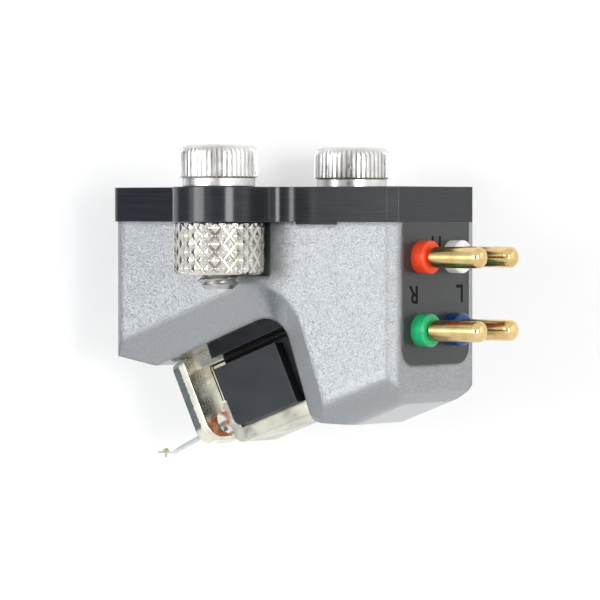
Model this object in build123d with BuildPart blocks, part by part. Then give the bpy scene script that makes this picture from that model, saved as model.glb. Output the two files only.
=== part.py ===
from build123d import *
import os
from math import cos, pi, radians, sin, tan

# Moving-coil phono cartridge with its two mounting screws, in millimetres.
# The origin is midway between the two screws, on the plate's top face, where the headshell sits.
# +X points to the rear, where the output pins are, +Y to the right-hand side and +Z up.
# The stylus points down at the front, so the left-hand side is at -Y.

os.makedirs("parts", exist_ok=True)

# Mounting plate and its ears
SCREW_SPACING = 12.7
PLATE_THICKNESS = 2.1
PLATE_OVERHANG = 0.15
PLATE_FRONT_RADIUS = 0.8
EAR_RADIUS = 2.8
EAR_ROOT_RADIUS = 1.3
SCREW_HOLE = 2.7
KEY_LENGTH = 3.2
KEY_WIDTH = 0.6
KEY_DEPTH = 0.15
KEY_X = 5.65

# Housing
BODY_WIDTH = 8.14
BODY_FRONT = -10.75
BODY_REAR = 11.45
BODY_FRONT_RADIUS = 1.0
REAR_CHAMFER = 0.5
CHIN_FRONT_Z = -10.4
LIP_X = -8.15
LIP_EDGE_RADIUS = 0.3
ARCH_TILT = 20.0
ARCH_APEX_X = 1.9
ARCH_APEX_Z = -7.35
ARCH_RADIUS = 2.0
BEVEL_RUN = 2.1
BEVEL_DEPTH = 1.2
LEG_BOTTOM_Z = -13.95
LEG_RADIUS = 1.0
FACET_X = 7.22
FACET_Z = -14.14
FACET_LENGTH = 4.0
HEEL_RISE = 0.65
LOWER_EDGE_RADIUS = 2.1

# Terminal plate, collars and pins
TERMINAL_WIDTH = 6.36
TERMINAL_BOTTOM_Z = -10.5
TERMINAL_RADIUS = 1.0
TERMINAL_THICKNESS = 1.6
TERMINAL_PROUD = 0.04
CAVITY_DEPTH = 1.5
CAVITY_MARGIN = 0.8
PIN_DIAMETER = 1.25
PIN_STEM_DIAMETER = 0.9
PIN_SHOULDER_GAP = 0.06
PIN_SPACING = 3.06
PIN_UPPER_Z = -4.15
PIN_LOWER_Z = -8.45
PIN_TIP_X = 16.15
PIN_NOSE = 0.5
PIN_NOSE_BEND = 0.25
PIN_NOSE_DIAMETER = 1.06
PIN_END_DIAMETER = 0.45
PIN_TAIL = 0.7
COLLAR_DIAMETER = 1.95
COLLAR_LENGTH = 0.9
COLLAR_EDGE = 0.12

# Mounting screws and knurled nuts
SCREW_DIAMETER = 2.5
SCREW_LENGTH = 6.1
SCREW_TIP_CHAMFER = 0.4
HEAD_DIAMETER = 4.7
HEAD_HEIGHT = 2.5
HEAD_COLLAR_HEIGHT = 0.5
HEAD_COLLAR_DIAMETER = 4.34
HEAD_TEETH = 36
HEAD_TOOTH_DEPTH = 0.17
HEAD_CROWN = 0.5
HEAD_CROWN_DIAMETER = 4.3
HEAD_CROWN_CHAMFER = 0.35
SOCKET_SIZE = 2.0
SOCKET_DEPTH = 1.3
NUT_DIAMETER = 5.5
NUT_HEIGHT = 3.1
NUT_GAP = 0.04
THREAD_PLAY = 0.05
NUT_KNURL_DEPTH = 0.28
NUT_DIAMONDS = 15
NUT_HALF_ROWS = 6
NUT_CHAMFER = 0.25
NUT_FOOT_DIAMETER = 4.9
NUT_POCKET_PLAY = 0.34
NUT_FLOOR_PLAY = 0.1

# Generator, in an oblique side frame: "along" rises to the rear, "down" follows the pole plates
POLE_LEAN = 27.0
MAGNET_FRONT_X = -4.12
MAGNET_TOP_Z = -11.14
MAGNET_LENGTH = 5.1
MAGNET_HEIGHT = 3.95
MAGNET_WIDTH = 4.0
MAGNET_NOSE_RADIUS = 0.7
YOKE_FRONT = 3.27
YOKE_THICKNESS = 1.09
YOKE_BOTTOM = 4.05
YOKE_WIDTH = 3.8
YOKE_CORNER_RADIUS = 1.0
YOKE_HOLE = 1.5
BAR_THICKNESS = 0.9
BAR_WIDTH = 3.0
POLE_FRONT = 0.75
POLE_TOP = 2.1
POLE_NOSE_RADIUS = 0.7
HOLDER_FRONT = 0.5
HOLDER_WIDTH = 5.0
HOLDER_DROP = 0.94
HOLDER_NECK_WIDTH = 2.8
HOLDER_ARM_WIDTH = 2.4
HOLDER_WALL_HEIGHT = 3.5
MAGNET_REAR_GAP = 0.1

# Moving system, on the cantilever's own axis through the pivot
CANTILEVER_TILT = 25.0
PIVOT_DOWN = 2.85
DAMPER_SPACE = 0.35
DAMPER_PLAY = 0.05
DAMPER_DIAMETER = 1.2
DAMPER_BORE = 0.4
FORMER_BOSS_DIAMETER = 0.7
FORMER_BOSS_LENGTH = 0.2
FORMER_THICKNESS = 0.3
FORMER_SPAN = 2.0
FORMER_ARM_WIDTH = 0.42
ARM_TURN = 45
COIL_START = 0.4
COIL_LENGTH = 0.46
COIL_WALL = 0.13
TIE_WIRE_DIAMETER = 0.12
TIE_WIRE_PLAY = 0.03
SET_SCREW_DIAMETER = 0.44
SET_SCREW_LENGTH = 0.7
SET_SCREW_PLAY = 0.02
CANTILEVER_DIAMETER = 0.32
CANTILEVER_FIT = 0.01
ROD_END_X = -9.0
PADDLE_START_X = -9.4
PADDLE_END_X = -10.4
PADDLE_WIDTH = 0.42
PADDLE_THICKNESS = 0.13
PADDLE_Z = -16.57
STYLUS_X = -9.85
STYLUS_TIP_Z = -16.95
STYLUS_SHANK = 0.2
STYLUS_CONE = 0.24
BEAD_DIAMETER = 0.4

# Fine leads from the windings to the pins
LEAD_DIAMETER = 0.08
LEAD_DOWN = -0.3
LEAD_START = -0.35
LEAD_INNER_Y = 1.62
LEAD_OUTER_Y = 1.86
LEAD_BORE = 0.7

# Values that follow from the driving dimensions
HALF_WIDTH = BODY_WIDTH / 2
BODY_TOP = -PLATE_THICKNESS
PLATE_FRONT = BODY_FRONT - PLATE_OVERHANG
SCREW_Y = SCREW_SPACING / 2
SCREW_PLACES = {"left": -SCREW_Y, "right": SCREW_Y}
REACH = 4 * BODY_WIDTH
TILT = radians(ARCH_TILT)
LEAN = radians(POLE_LEAN)
RISE = tan(TILT)
FACET_REAR_X = FACET_X + FACET_LENGTH * cos(TILT)
FACET_REAR_Z = FACET_Z + FACET_LENGTH * sin(TILT)
LIP_Z = ARCH_APEX_Z - (ARCH_APEX_X - LIP_X) * RISE
LEG_X = ARCH_APEX_X + (ARCH_APEX_Z - LEG_BOTTOM_Z) * RISE
TERMINAL_FACE = BODY_REAR + TERMINAL_PROUD
TERMINAL_BACK = BODY_REAR - TERMINAL_THICKNESS
CAVITY_FRONT = TERMINAL_BACK - CAVITY_DEPTH
COLLAR_END = TERMINAL_FACE + COLLAR_LENGTH
PIN_SHOULDER_X = COLLAR_END + PIN_SHOULDER_GAP
PIN_TAIL_X = TERMINAL_BACK - PIN_TAIL
PINS = {
    "right_signal": (-PIN_SPACING / 2, PIN_UPPER_Z),
    "right_return": (-PIN_SPACING / 2, PIN_LOWER_Z),
    "left_signal": (PIN_SPACING / 2, PIN_UPPER_Z),
    "left_return": (PIN_SPACING / 2, PIN_LOWER_Z),
}
NUT_TOP = BODY_TOP - NUT_GAP
NUT_BOTTOM = NUT_TOP - NUT_HEIGHT
KNURL_CREST = NUT_DIAMETER / 2
KNURL_GROOVE = KNURL_CREST - NUT_KNURL_DEPTH

# The generator's frame against the arch: its ceiling and the leg behind it
APEX_OVER_MAGNET = (ARCH_APEX_Z - MAGNET_TOP_Z) * cos(TILT) - (ARCH_APEX_X - MAGNET_FRONT_X) * sin(TILT)
APEX_BEHIND_MAGNET = (ARCH_APEX_X - MAGNET_FRONT_X) * cos(TILT) + (ARCH_APEX_Z - MAGNET_TOP_Z) * sin(TILT)
CEILING = -APEX_OVER_MAGNET / cos(LEAN - TILT)
HOLDER_UNDERSIDE = CEILING + HOLDER_DROP / cos(LEAN - TILT)
BAR_BOTTOM = MAGNET_HEIGHT + BAR_THICKNESS
YOKE_REAR = YOKE_THICKNESS - YOKE_FRONT


def generator_point(along, down):
    x = MAGNET_FRONT_X + along * cos(TILT) + down * sin(LEAN)
    z = MAGNET_TOP_Z + along * sin(TILT) - down * cos(LEAN)
    return (x, z)


def leg_point(down):
    # A point on the leg's front wall, at this depth in the generator's frame
    return generator_point(APEX_BEHIND_MAGNET - down * sin(LEAN - TILT), down)


def write(builder, name):
    builder.part.label = name
    export_step(builder.part, f"parts/{name}.step")


def facing_rear(x, y, z):
    # A sketch plane square to the pins, with its own x along +Y and its own y along +Z
    return Plane((x, y, z), x_dir=(0, 1, 0), z_dir=(1, 0, 0))


PIVOT_X, PIVOT_Z = generator_point(-POLE_FRONT - DAMPER_SPACE, PIVOT_DOWN)
AXIS_ANGLE = radians(CANTILEVER_TILT)
# The pivot's plane: its own z runs out along the cantilever, its own x along +Y
PIVOT = Plane(
    (PIVOT_X, 0, PIVOT_Z), x_dir=(0, 1, 0), z_dir=(-cos(AXIS_ANGLE), 0, -sin(AXIS_ANGLE))
)


# The line of the arch over the generator, carried past the housing to make a cutter
def arch_outline(grow):
    # Both straight edges move out square to themselves as the outline grows.
    apex_x = ARCH_APEX_X + grow * (cos(TILT) - sin(TILT))
    apex_z = ARCH_APEX_Z + grow * (cos(TILT) + sin(TILT))
    front = (apex_x - REACH, apex_z - REACH * RISE)
    foot = (apex_x + REACH * RISE, apex_z - REACH)
    corner = (front[0], foot[1])
    radii = [0, ARCH_RADIUS + grow, 0, 0]
    return FilletPolyline(front, (apex_x, apex_z), foot, corner, radius=radii, close=True)


# The bevel along both sides of the arch, as a cutter
with BuildPart() as arch_bevel:
    with BuildSketch(Plane.XZ.offset(HALF_WIDTH - BEVEL_DEPTH)):
        with BuildLine():
            arch_outline(0)
        make_face()
    with BuildSketch(Plane.XZ.offset(HALF_WIDTH)):
        with BuildLine():
            arch_outline(BEVEL_RUN)
        make_face()
    loft(ruled=True)
    mirror(about=Plane.XZ)


# The bores for the leads, from the arch to the cavity behind the terminal plate, as a cutter
with BuildPart() as lead_bores:
    start_x, start_z = generator_point(MAGNET_LENGTH, LEAD_DOWN)
    bore_length = (CAVITY_FRONT + CAVITY_DEPTH / 2 - start_x) / cos(TILT)
    for side in (-1, 1):
        bore_y = side * (LEAD_INNER_Y + LEAD_OUTER_Y) / 2
        with BuildSketch(Plane((start_x, bore_y, start_z), z_dir=(cos(TILT), 0, sin(TILT)))):
            Circle(LEAD_BORE / 2)
        extrude(amount=bore_length)


# The two small tongues that locate the plate on the housing
with BuildPart() as plate_keys:
    with Locations((KEY_X, KEY_WIDTH / 2 - HALF_WIDTH, BODY_TOP), (KEY_X, HALF_WIDTH - KEY_WIDTH / 2, BODY_TOP)):
        Box(KEY_LENGTH, KEY_WIDTH, KEY_DEPTH, align=(Align.CENTER, Align.CENTER, Align.MAX))


# The outline of the terminal plate: square at the top, round at its lower corners
with BuildPart() as terminal_block:
    with BuildSketch(facing_rear(TERMINAL_BACK, 0, BODY_TOP)) as terminal_outline:
        Rectangle(TERMINAL_WIDTH, BODY_TOP - TERMINAL_BOTTOM_Z, align=(Align.CENTER, Align.MAX))
        fillet(terminal_outline.vertices().group_by(Axis.Y)[0], TERMINAL_RADIUS)
    extrude(amount=TERMINAL_THICKNESS + TERMINAL_PROUD)


# Housing: plan outline, side profile and rounded underside meet in one block
with BuildPart() as body_shell:
    with BuildSketch(Plane.XY.offset(BODY_TOP)) as plan:
        with Locations(((BODY_FRONT + BODY_REAR) / 2, 0)):
            Rectangle(BODY_REAR - BODY_FRONT, BODY_WIDTH)
        fillet(plan.vertices().group_by(Axis.X)[0], BODY_FRONT_RADIUS)
        chamfer(plan.vertices().group_by(Axis.X)[-1], REAR_CHAMFER)
    extrude(amount=-REACH)
    with BuildSketch(Plane.XZ):
        with BuildLine():
            FilletPolyline(
                (BODY_FRONT, BODY_TOP),
                (BODY_FRONT, CHIN_FRONT_Z),
                (LIP_X, LIP_Z),
                (ARCH_APEX_X, ARCH_APEX_Z),
                (LEG_X, LEG_BOTTOM_Z),
                (FACET_X, FACET_Z),
                (FACET_REAR_X, FACET_REAR_Z),
                (BODY_REAR, FACET_REAR_Z + HEEL_RISE),
                (BODY_REAR, BODY_TOP),
                radius=[0, LIP_EDGE_RADIUS, LIP_EDGE_RADIUS, ARCH_RADIUS, LEG_RADIUS, 0, 0, 0, 0],
                close=True,
            )
        make_face()
    extrude(amount=BODY_WIDTH, both=True, mode=Mode.INTERSECT)
    underside = Plane((FACET_X, 0, FACET_Z), x_dir=(0, 1, 0), z_dir=(cos(TILT), 0, sin(TILT)))
    with BuildSketch(underside) as trough:
        Rectangle(BODY_WIDTH, REACH, align=(Align.CENTER, Align.MIN))
        fillet(trough.vertices().group_by(Axis.Y)[0], LOWER_EDGE_RADIUS)
    extrude(amount=REACH, both=True, mode=Mode.INTERSECT)
    add(arch_bevel.part, mode=Mode.SUBTRACT)
    # Round pockets for the knurled nuts
    with Locations((0, -SCREW_Y, BODY_TOP), (0, SCREW_Y, BODY_TOP)):
        Cylinder(
            NUT_DIAMETER / 2 + NUT_POCKET_PLAY,
            BODY_TOP - NUT_BOTTOM + NUT_FLOOR_PLAY,
            align=(Align.CENTER, Align.CENTER, Align.MAX),
            mode=Mode.SUBTRACT,
        )
    # Seat of the terminal plate, with a cavity behind it for the pins' tails
    add(terminal_block.part, mode=Mode.SUBTRACT)
    with BuildSketch(facing_rear(CAVITY_FRONT, 0, BODY_TOP - CAVITY_MARGIN)):
        Rectangle(
            TERMINAL_WIDTH - 2 * CAVITY_MARGIN,
            BODY_TOP - TERMINAL_BOTTOM_Z - 2 * CAVITY_MARGIN,
            align=(Align.CENTER, Align.MAX),
        )
    extrude(amount=CAVITY_DEPTH, mode=Mode.SUBTRACT)
    add(lead_bores.part, mode=Mode.SUBTRACT)
    add(plate_keys.part, mode=Mode.SUBTRACT)
write(body_shell, "body_shell")


# Mounting plate: flat plate with a round ear at each side for a screw
with BuildPart() as mounting_plate:
    with BuildSketch() as outline:
        with Locations(((PLATE_FRONT + BODY_REAR) / 2, 0)):
            Rectangle(BODY_REAR - PLATE_FRONT, BODY_WIDTH)
        fillet(outline.vertices().group_by(Axis.X)[0], PLATE_FRONT_RADIUS)
        chamfer(outline.vertices().group_by(Axis.X)[-1], REAR_CHAMFER)
        Rectangle(2 * EAR_RADIUS, SCREW_SPACING)
        by_y = outline.vertices().filter_by_position(Axis.X, -EAR_RADIUS, EAR_RADIUS).group_by(Axis.Y)
        fillet(by_y[1] + by_y[-2], EAR_ROOT_RADIUS)
        with Locations((0, -SCREW_Y), (0, SCREW_Y)):
            Circle(EAR_RADIUS)
            Circle(SCREW_HOLE / 2, mode=Mode.SUBTRACT)
    extrude(amount=-PLATE_THICKNESS)
    add(plate_keys.part)
write(mounting_plate, "mounting_plate")


# Terminal plate, with a hole for each collar
with BuildPart() as terminal_plate:
    add(terminal_block.part)
    for pin_y, pin_z in PINS.values():
        with BuildSketch(facing_rear(TERMINAL_FACE, pin_y, pin_z)):
            Circle(COLLAR_DIAMETER / 2)
        extrude(amount=-TERMINAL_THICKNESS - TERMINAL_PROUD, mode=Mode.SUBTRACT)
write(terminal_plate, "terminal_plate")


# Output pins in their coloured collars
for channel, (pin_y, pin_z) in PINS.items():
    with BuildPart() as collar:
        with BuildSketch(facing_rear(TERMINAL_BACK, pin_y, pin_z)):
            Circle(COLLAR_DIAMETER / 2)
            Circle(PIN_STEM_DIAMETER / 2, mode=Mode.SUBTRACT)
        extrude(amount=COLLAR_END - TERMINAL_BACK)
        outer_edge = collar.edges().group_by(Axis.X)[-1].sort_by(SortBy.RADIUS)[-1]
        chamfer(outer_edge, COLLAR_EDGE)
    write(collar, f"collar_{channel}")
    with BuildPart() as pin:
        with BuildSketch(Plane((0, pin_y, pin_z), z_dir=(0, -1, 0), x_dir=(1, 0, 0))):
            with BuildLine():
                Polyline(
                    (PIN_TAIL_X, 0),
                    (PIN_TAIL_X, PIN_STEM_DIAMETER / 2),
                    (PIN_SHOULDER_X, PIN_STEM_DIAMETER / 2),
                    (PIN_SHOULDER_X, PIN_DIAMETER / 2),
                    (PIN_TIP_X - PIN_NOSE, PIN_DIAMETER / 2),
                    (PIN_TIP_X - PIN_NOSE + PIN_NOSE_BEND, PIN_NOSE_DIAMETER / 2),
                    (PIN_TIP_X, PIN_END_DIAMETER / 2),
                    (PIN_TIP_X, 0),
                    close=True,
                )
            make_face()
        revolve(axis=Axis((0, pin_y, pin_z), (1, 0, 0)))
    write(pin, f"pin_{channel}")


# A ring of points that alternate between two radii, for straight knurls
def toothed_ring(outer, inner, teeth):
    points = []
    for step in range(2 * teeth):
        angle = pi * step / teeth
        radius = inner if step % 2 else outer
        points.append((radius * cos(angle), radius * sin(angle)))
    return Polyline(*points, close=True)


# Socket-head mounting screws with straight-knurled heads
for side, screw_y in SCREW_PLACES.items():
    seat = Plane((0, screw_y, 0))
    with BuildPart() as cap_screw:
        with BuildSketch(seat):
            Circle(SCREW_DIAMETER / 2)
        extrude(amount=-SCREW_LENGTH)
        chamfer(cap_screw.edges().group_by(Axis.Z)[0], SCREW_TIP_CHAMFER)
        with BuildSketch(seat):
            Circle(HEAD_COLLAR_DIAMETER / 2)
        extrude(amount=HEAD_COLLAR_HEIGHT)
        with BuildSketch(seat.offset(HEAD_COLLAR_HEIGHT)):
            with BuildLine():
                toothed_ring(HEAD_DIAMETER / 2, HEAD_DIAMETER / 2 - HEAD_TOOTH_DEPTH, HEAD_TEETH)
            make_face()
        extrude(amount=HEAD_HEIGHT - HEAD_COLLAR_HEIGHT - HEAD_CROWN)
        with BuildSketch(seat.offset(HEAD_HEIGHT - HEAD_CROWN)):
            Circle(HEAD_CROWN_DIAMETER / 2)
        extrude(amount=HEAD_CROWN)
        chamfer(cap_screw.edges().group_by(Axis.Z)[-1], HEAD_CROWN_CHAMFER)
        with BuildSketch(seat.offset(HEAD_HEIGHT)):
            RegularPolygon(SOCKET_SIZE / 2, 6, major_radius=False)
        extrude(amount=-SOCKET_DEPTH, mode=Mode.SUBTRACT)
    write(cap_screw, f"cap_screw_{side}")


# The diamond knurl: four flat facets rise from the grooves to the point of each diamond
def knurl_point(half_row, half_step, radius):
    angle = pi * half_step / NUT_DIAMONDS
    height = NUT_BOTTOM + NUT_CHAMFER + (NUT_HEIGHT - NUT_CHAMFER) * half_row / NUT_HALF_ROWS
    return Vector(radius * cos(angle), radius * sin(angle), height)


def rim_point(half_row, half_step):
    on_crest = half_step % 2 == half_row % 2
    return knurl_point(half_row, half_step, KNURL_CREST if on_crest else KNURL_GROOVE)


def foot_point(half_step):
    angle = pi * half_step / NUT_DIAMONDS
    return Vector(NUT_FOOT_DIAMETER / 2 * cos(angle), NUT_FOOT_DIAMETER / 2 * sin(angle), NUT_BOTTOM)


def flat_face(*corners):
    return Face(Wire.make_polygon(corners))


def diamond_facets():
    facets = []
    for half_row in range(NUT_HALF_ROWS + 1):
        for step in range(NUT_DIAMONDS):
            middle = 2 * step + half_row % 2
            point = knurl_point(half_row, middle, KNURL_CREST)
            before = knurl_point(half_row, middle - 1, KNURL_GROOVE)
            after = knurl_point(half_row, middle + 1, KNURL_GROOVE)
            if half_row < NUT_HALF_ROWS:
                above = knurl_point(half_row + 1, middle, KNURL_GROOVE)
                facets.append(flat_face(point, above, before))
                facets.append(flat_face(point, after, above))
            if half_row > 0:
                below = knurl_point(half_row - 1, middle, KNURL_GROOVE)
                facets.append(flat_face(point, before, below))
                facets.append(flat_face(point, below, after))
    return facets


def foot_facets():
    # The lower rim narrows to the flat foot, two facets for each half step.
    facets = []
    for half_step in range(2 * NUT_DIAMONDS):
        rim, next_rim = rim_point(0, half_step), rim_point(0, half_step + 1)
        foot, next_foot = foot_point(half_step), foot_point(half_step + 1)
        facets.append(flat_face(rim, next_foot, foot))
        facets.append(flat_face(rim, next_rim, next_foot))
    return facets


half_steps = range(2 * NUT_DIAMONDS)
top_face = flat_face(*[rim_point(NUT_HALF_ROWS, half_step) for half_step in half_steps])
foot_face = flat_face(*[foot_point(half_step) for half_step in half_steps])
knurled_blank = Solid(Shell(diamond_facets() + foot_facets() + [top_face, foot_face]))

# Knurled nuts under the ears
for side, screw_y in SCREW_PLACES.items():
    with BuildPart() as knurled_nut:
        with Locations((0, screw_y, 0)):
            add(knurled_blank)
        with BuildSketch(Plane((0, screw_y, NUT_BOTTOM))):
            Circle(SCREW_DIAMETER / 2 + THREAD_PLAY)
        extrude(amount=NUT_HEIGHT, mode=Mode.SUBTRACT)
    write(knurled_nut, f"knurled_nut_{side}")


# Magnet: block with a rounded lower front edge
with BuildPart() as magnet:
    with BuildSketch(Plane.XZ):
        with BuildLine():
            FilletPolyline(
                generator_point(0, 0),
                generator_point(MAGNET_LENGTH, 0),
                generator_point(MAGNET_LENGTH, MAGNET_HEIGHT),
                generator_point(0, MAGNET_HEIGHT),
                radius=[0, 0, 0, MAGNET_NOSE_RADIUS],
                close=True,
            )
        make_face()
    extrude(amount=MAGNET_WIDTH / 2, both=True)
write(magnet, "magnet")


# Holder: the cradle under the arch that carries the magnet and the front yoke
with BuildPart() as generator_holder:
    with BuildSketch(Plane.XZ):
        with BuildLine():
            FilletPolyline(
                generator_point(HOLDER_FRONT, CEILING),
                leg_point(CEILING),
                leg_point(HOLDER_UNDERSIDE),
                generator_point(HOLDER_FRONT, HOLDER_UNDERSIDE),
                radius=[0, 0, 0, 0],
                close=True,
            )
        make_face()
    extrude(amount=HOLDER_WIDTH / 2, both=True)
    with BuildSketch(Plane.XZ):
        with BuildLine():
            Polyline(
                generator_point(HOLDER_FRONT, HOLDER_UNDERSIDE),
                generator_point(HOLDER_FRONT, 0),
                generator_point(MAGNET_LENGTH + MAGNET_REAR_GAP, 0),
                generator_point(MAGNET_LENGTH + MAGNET_REAR_GAP, HOLDER_WALL_HEIGHT),
                leg_point(HOLDER_WALL_HEIGHT),
                leg_point(HOLDER_UNDERSIDE),
                close=True,
            )
        make_face()
    extrude(amount=HOLDER_NECK_WIDTH / 2, both=True)
    with BuildSketch(Plane.XZ):
        with BuildLine():
            Polyline(
                generator_point(YOKE_REAR, CEILING),
                generator_point(HOLDER_FRONT, CEILING),
                generator_point(HOLDER_FRONT, HOLDER_UNDERSIDE),
                generator_point(YOKE_REAR, HOLDER_UNDERSIDE),
                close=True,
            )
        make_face()
    extrude(amount=HOLDER_ARM_WIDTH / 2, both=True)
    # The cradle clears the round corner of the arch.
    with BuildSketch(Plane.XZ) as corner_round:
        with BuildLine():
            arch_outline(0)
        make_face()
    extrude(amount=HOLDER_WIDTH, both=True, mode=Mode.INTERSECT)
write(generator_holder, "generator_holder")


# Front yoke: nickel-plated plate, round at its lower corners, with a hole for the cantilever
with BuildPart() as front_yoke:
    with BuildSketch(Plane.XZ):
        with BuildLine():
            Polyline(
                generator_point(-YOKE_FRONT, CEILING),
                generator_point(YOKE_REAR, CEILING),
                generator_point(YOKE_REAR, YOKE_BOTTOM),
                generator_point(-YOKE_FRONT, YOKE_BOTTOM),
                close=True,
            )
        make_face()
    extrude(amount=YOKE_WIDTH / 2, both=True)
    bottom_x, bottom_z = generator_point(-YOKE_FRONT, YOKE_BOTTOM)
    plate_face = Plane((bottom_x, 0, bottom_z), x_dir=(0, 1, 0), z_dir=(cos(LEAN), 0, sin(LEAN)))
    with BuildSketch(plate_face) as yoke_outline:
        Rectangle(YOKE_WIDTH, REACH, align=(Align.CENTER, Align.MIN))
        fillet(yoke_outline.vertices().group_by(Axis.Y)[0], YOKE_CORNER_RADIUS)
    extrude(amount=YOKE_THICKNESS, mode=Mode.INTERSECT)
    with BuildSketch(PIVOT):
        Circle(YOKE_HOLE / 2)
    extrude(amount=REACH, mode=Mode.SUBTRACT)
write(front_yoke, "front_yoke")


# Lower yoke: bar under the magnet, with its front end turned up as the rear pole
with BuildPart() as lower_yoke:
    with BuildSketch(Plane.XZ):
        with BuildLine():
            FilletPolyline(
                generator_point(-POLE_FRONT, POLE_TOP),
                generator_point(0, POLE_TOP),
                generator_point(0, MAGNET_HEIGHT),
                leg_point(MAGNET_HEIGHT),
                leg_point(BAR_BOTTOM),
                generator_point(-POLE_FRONT, BAR_BOTTOM),
                radius=[0, 0, 0, 0, 0, POLE_NOSE_RADIUS],
                close=True,
            )
        make_face()
    extrude(amount=BAR_WIDTH / 2, both=True)
    with BuildSketch(PIVOT):
        Circle(TIE_WIRE_DIAMETER / 2 + TIE_WIRE_PLAY)
    extrude(amount=-DAMPER_SPACE - POLE_FRONT, mode=Mode.SUBTRACT)
    set_x, set_z = generator_point(-POLE_FRONT / 2, PIVOT_DOWN)
    set_plane = Plane((set_x, 0, set_z), x_dir=(0, 1, 0), z_dir=(sin(LEAN), 0, -cos(LEAN)))
    with BuildSketch(set_plane):
        Circle(SET_SCREW_DIAMETER / 2 + SET_SCREW_PLAY)
    extrude(amount=BAR_BOTTOM, mode=Mode.SUBTRACT)
write(lower_yoke, "lower_yoke")


# Grub screw that clamps the tie wire
with BuildPart() as set_screw:
    with BuildSketch(set_plane.offset(TIE_WIRE_DIAMETER)):
        Circle(SET_SCREW_DIAMETER / 2)
    extrude(amount=SET_SCREW_LENGTH)
write(set_screw, "set_screw")


# Suspension wire on the cantilever's axis, from the coil former into the rear pole
with BuildPart() as tie_wire:
    with BuildSketch(PIVOT.offset(-TIE_WIRE_PLAY)):
        Circle(TIE_WIRE_DIAMETER / 2)
    extrude(amount=TIE_WIRE_PLAY - DAMPER_SPACE - POLE_FRONT / 2 - SET_SCREW_DIAMETER / 2)
write(tie_wire, "tie_wire")


# Rubber damper ring between the rear pole and the coil former
with BuildPart() as damper:
    with BuildSketch(PIVOT.offset(-DAMPER_PLAY)):
        Circle(DAMPER_DIAMETER / 2)
        Circle(DAMPER_BORE / 2, mode=Mode.SUBTRACT)
    extrude(amount=2 * DAMPER_PLAY - DAMPER_SPACE)
write(damper, "damper")


# Coil former: a cross on a short boss, with a bore for the cantilever
with BuildPart() as coil_former:
    with BuildSketch(PIVOT):
        Circle(FORMER_BOSS_DIAMETER / 2)
    extrude(amount=FORMER_BOSS_LENGTH)
    with BuildSketch(PIVOT.offset(FORMER_BOSS_LENGTH)):
        Rectangle(FORMER_SPAN, FORMER_ARM_WIDTH, rotation=ARM_TURN)
        Rectangle(FORMER_SPAN, FORMER_ARM_WIDTH, rotation=-ARM_TURN)
    extrude(amount=FORMER_THICKNESS)
    with BuildSketch(PIVOT.offset(FORMER_BOSS_LENGTH)):
        Circle(CANTILEVER_DIAMETER / 2 + CANTILEVER_FIT)
    extrude(amount=FORMER_THICKNESS, mode=Mode.SUBTRACT)
write(coil_former, "coil_former")


# Windings: one packet of wire on each arm, two arms for each channel
COIL_PLANE = PIVOT.offset(FORMER_BOSS_LENGTH + FORMER_THICKNESS / 2)
for channel, turn in {"left": ARM_TURN, "right": -ARM_TURN}.items():
    with BuildPart() as windings:
        with BuildSketch(COIL_PLANE):
            with PolarLocations(COIL_START + COIL_LENGTH / 2, 2, start_angle=turn):
                Rectangle(COIL_LENGTH, FORMER_ARM_WIDTH + 2 * COIL_WALL)
        extrude(amount=FORMER_THICKNESS / 2 + COIL_WALL, both=True)
        arm_end = COIL_PLANE.from_local_coords((cos(radians(turn)), sin(radians(turn)), 0))
        chamfer(windings.edges().filter_by(Axis(COIL_PLANE.origin, arm_end - COIL_PLANE.origin)), COIL_WALL / 2)
        with BuildSketch(COIL_PLANE):
            Rectangle(FORMER_SPAN, FORMER_ARM_WIDTH, rotation=turn)
        extrude(amount=FORMER_THICKNESS / 2, both=True, mode=Mode.SUBTRACT)
    write(windings, f"windings_{channel}")


# Cantilever: round rod, flattened to a level paddle where the diamond sits
rod_length = (PIVOT_X - ROD_END_X) / cos(AXIS_ANGLE)
with BuildPart() as cantilever:
    with BuildSketch(PIVOT.offset(FORMER_BOSS_LENGTH)):
        Circle(CANTILEVER_DIAMETER / 2)
    extrude(amount=rod_length - FORMER_BOSS_LENGTH)
    with BuildSketch(PIVOT.offset(rod_length)):
        Circle(CANTILEVER_DIAMETER / 2)
    paddle_start = Plane((PADDLE_START_X, 0, PADDLE_Z), x_dir=(0, 1, 0), z_dir=(-1, 0, 0))
    with BuildSketch(paddle_start):
        Rectangle(PADDLE_WIDTH, PADDLE_THICKNESS)
    loft()
    with BuildSketch(paddle_start):
        Rectangle(PADDLE_WIDTH, PADDLE_THICKNESS)
    extrude(amount=PADDLE_START_X - PADDLE_END_X)
    with BuildSketch(Plane((STYLUS_X, 0, PADDLE_Z))):
        Circle(STYLUS_SHANK / 2 + CANTILEVER_FIT)
    extrude(amount=PADDLE_THICKNESS, both=True, mode=Mode.SUBTRACT)
write(cantilever, "cantilever")


# Stylus: the diamond's round shank through the paddle, ground to a cone
paddle_top = PADDLE_Z + PADDLE_THICKNESS / 2
with BuildPart() as stylus_tip:
    with BuildSketch(Plane.XZ):
        with BuildLine():
            Polyline(
                (STYLUS_X, paddle_top),
                (STYLUS_X + STYLUS_SHANK / 2, paddle_top),
                (STYLUS_X + STYLUS_SHANK / 2, STYLUS_TIP_Z + STYLUS_CONE),
                (STYLUS_X, STYLUS_TIP_Z),
                close=True,
            )
        make_face()
    revolve(axis=Axis((STYLUS_X, 0, 0), (0, 0, 1)))
write(stylus_tip, "stylus_tip")


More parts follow.
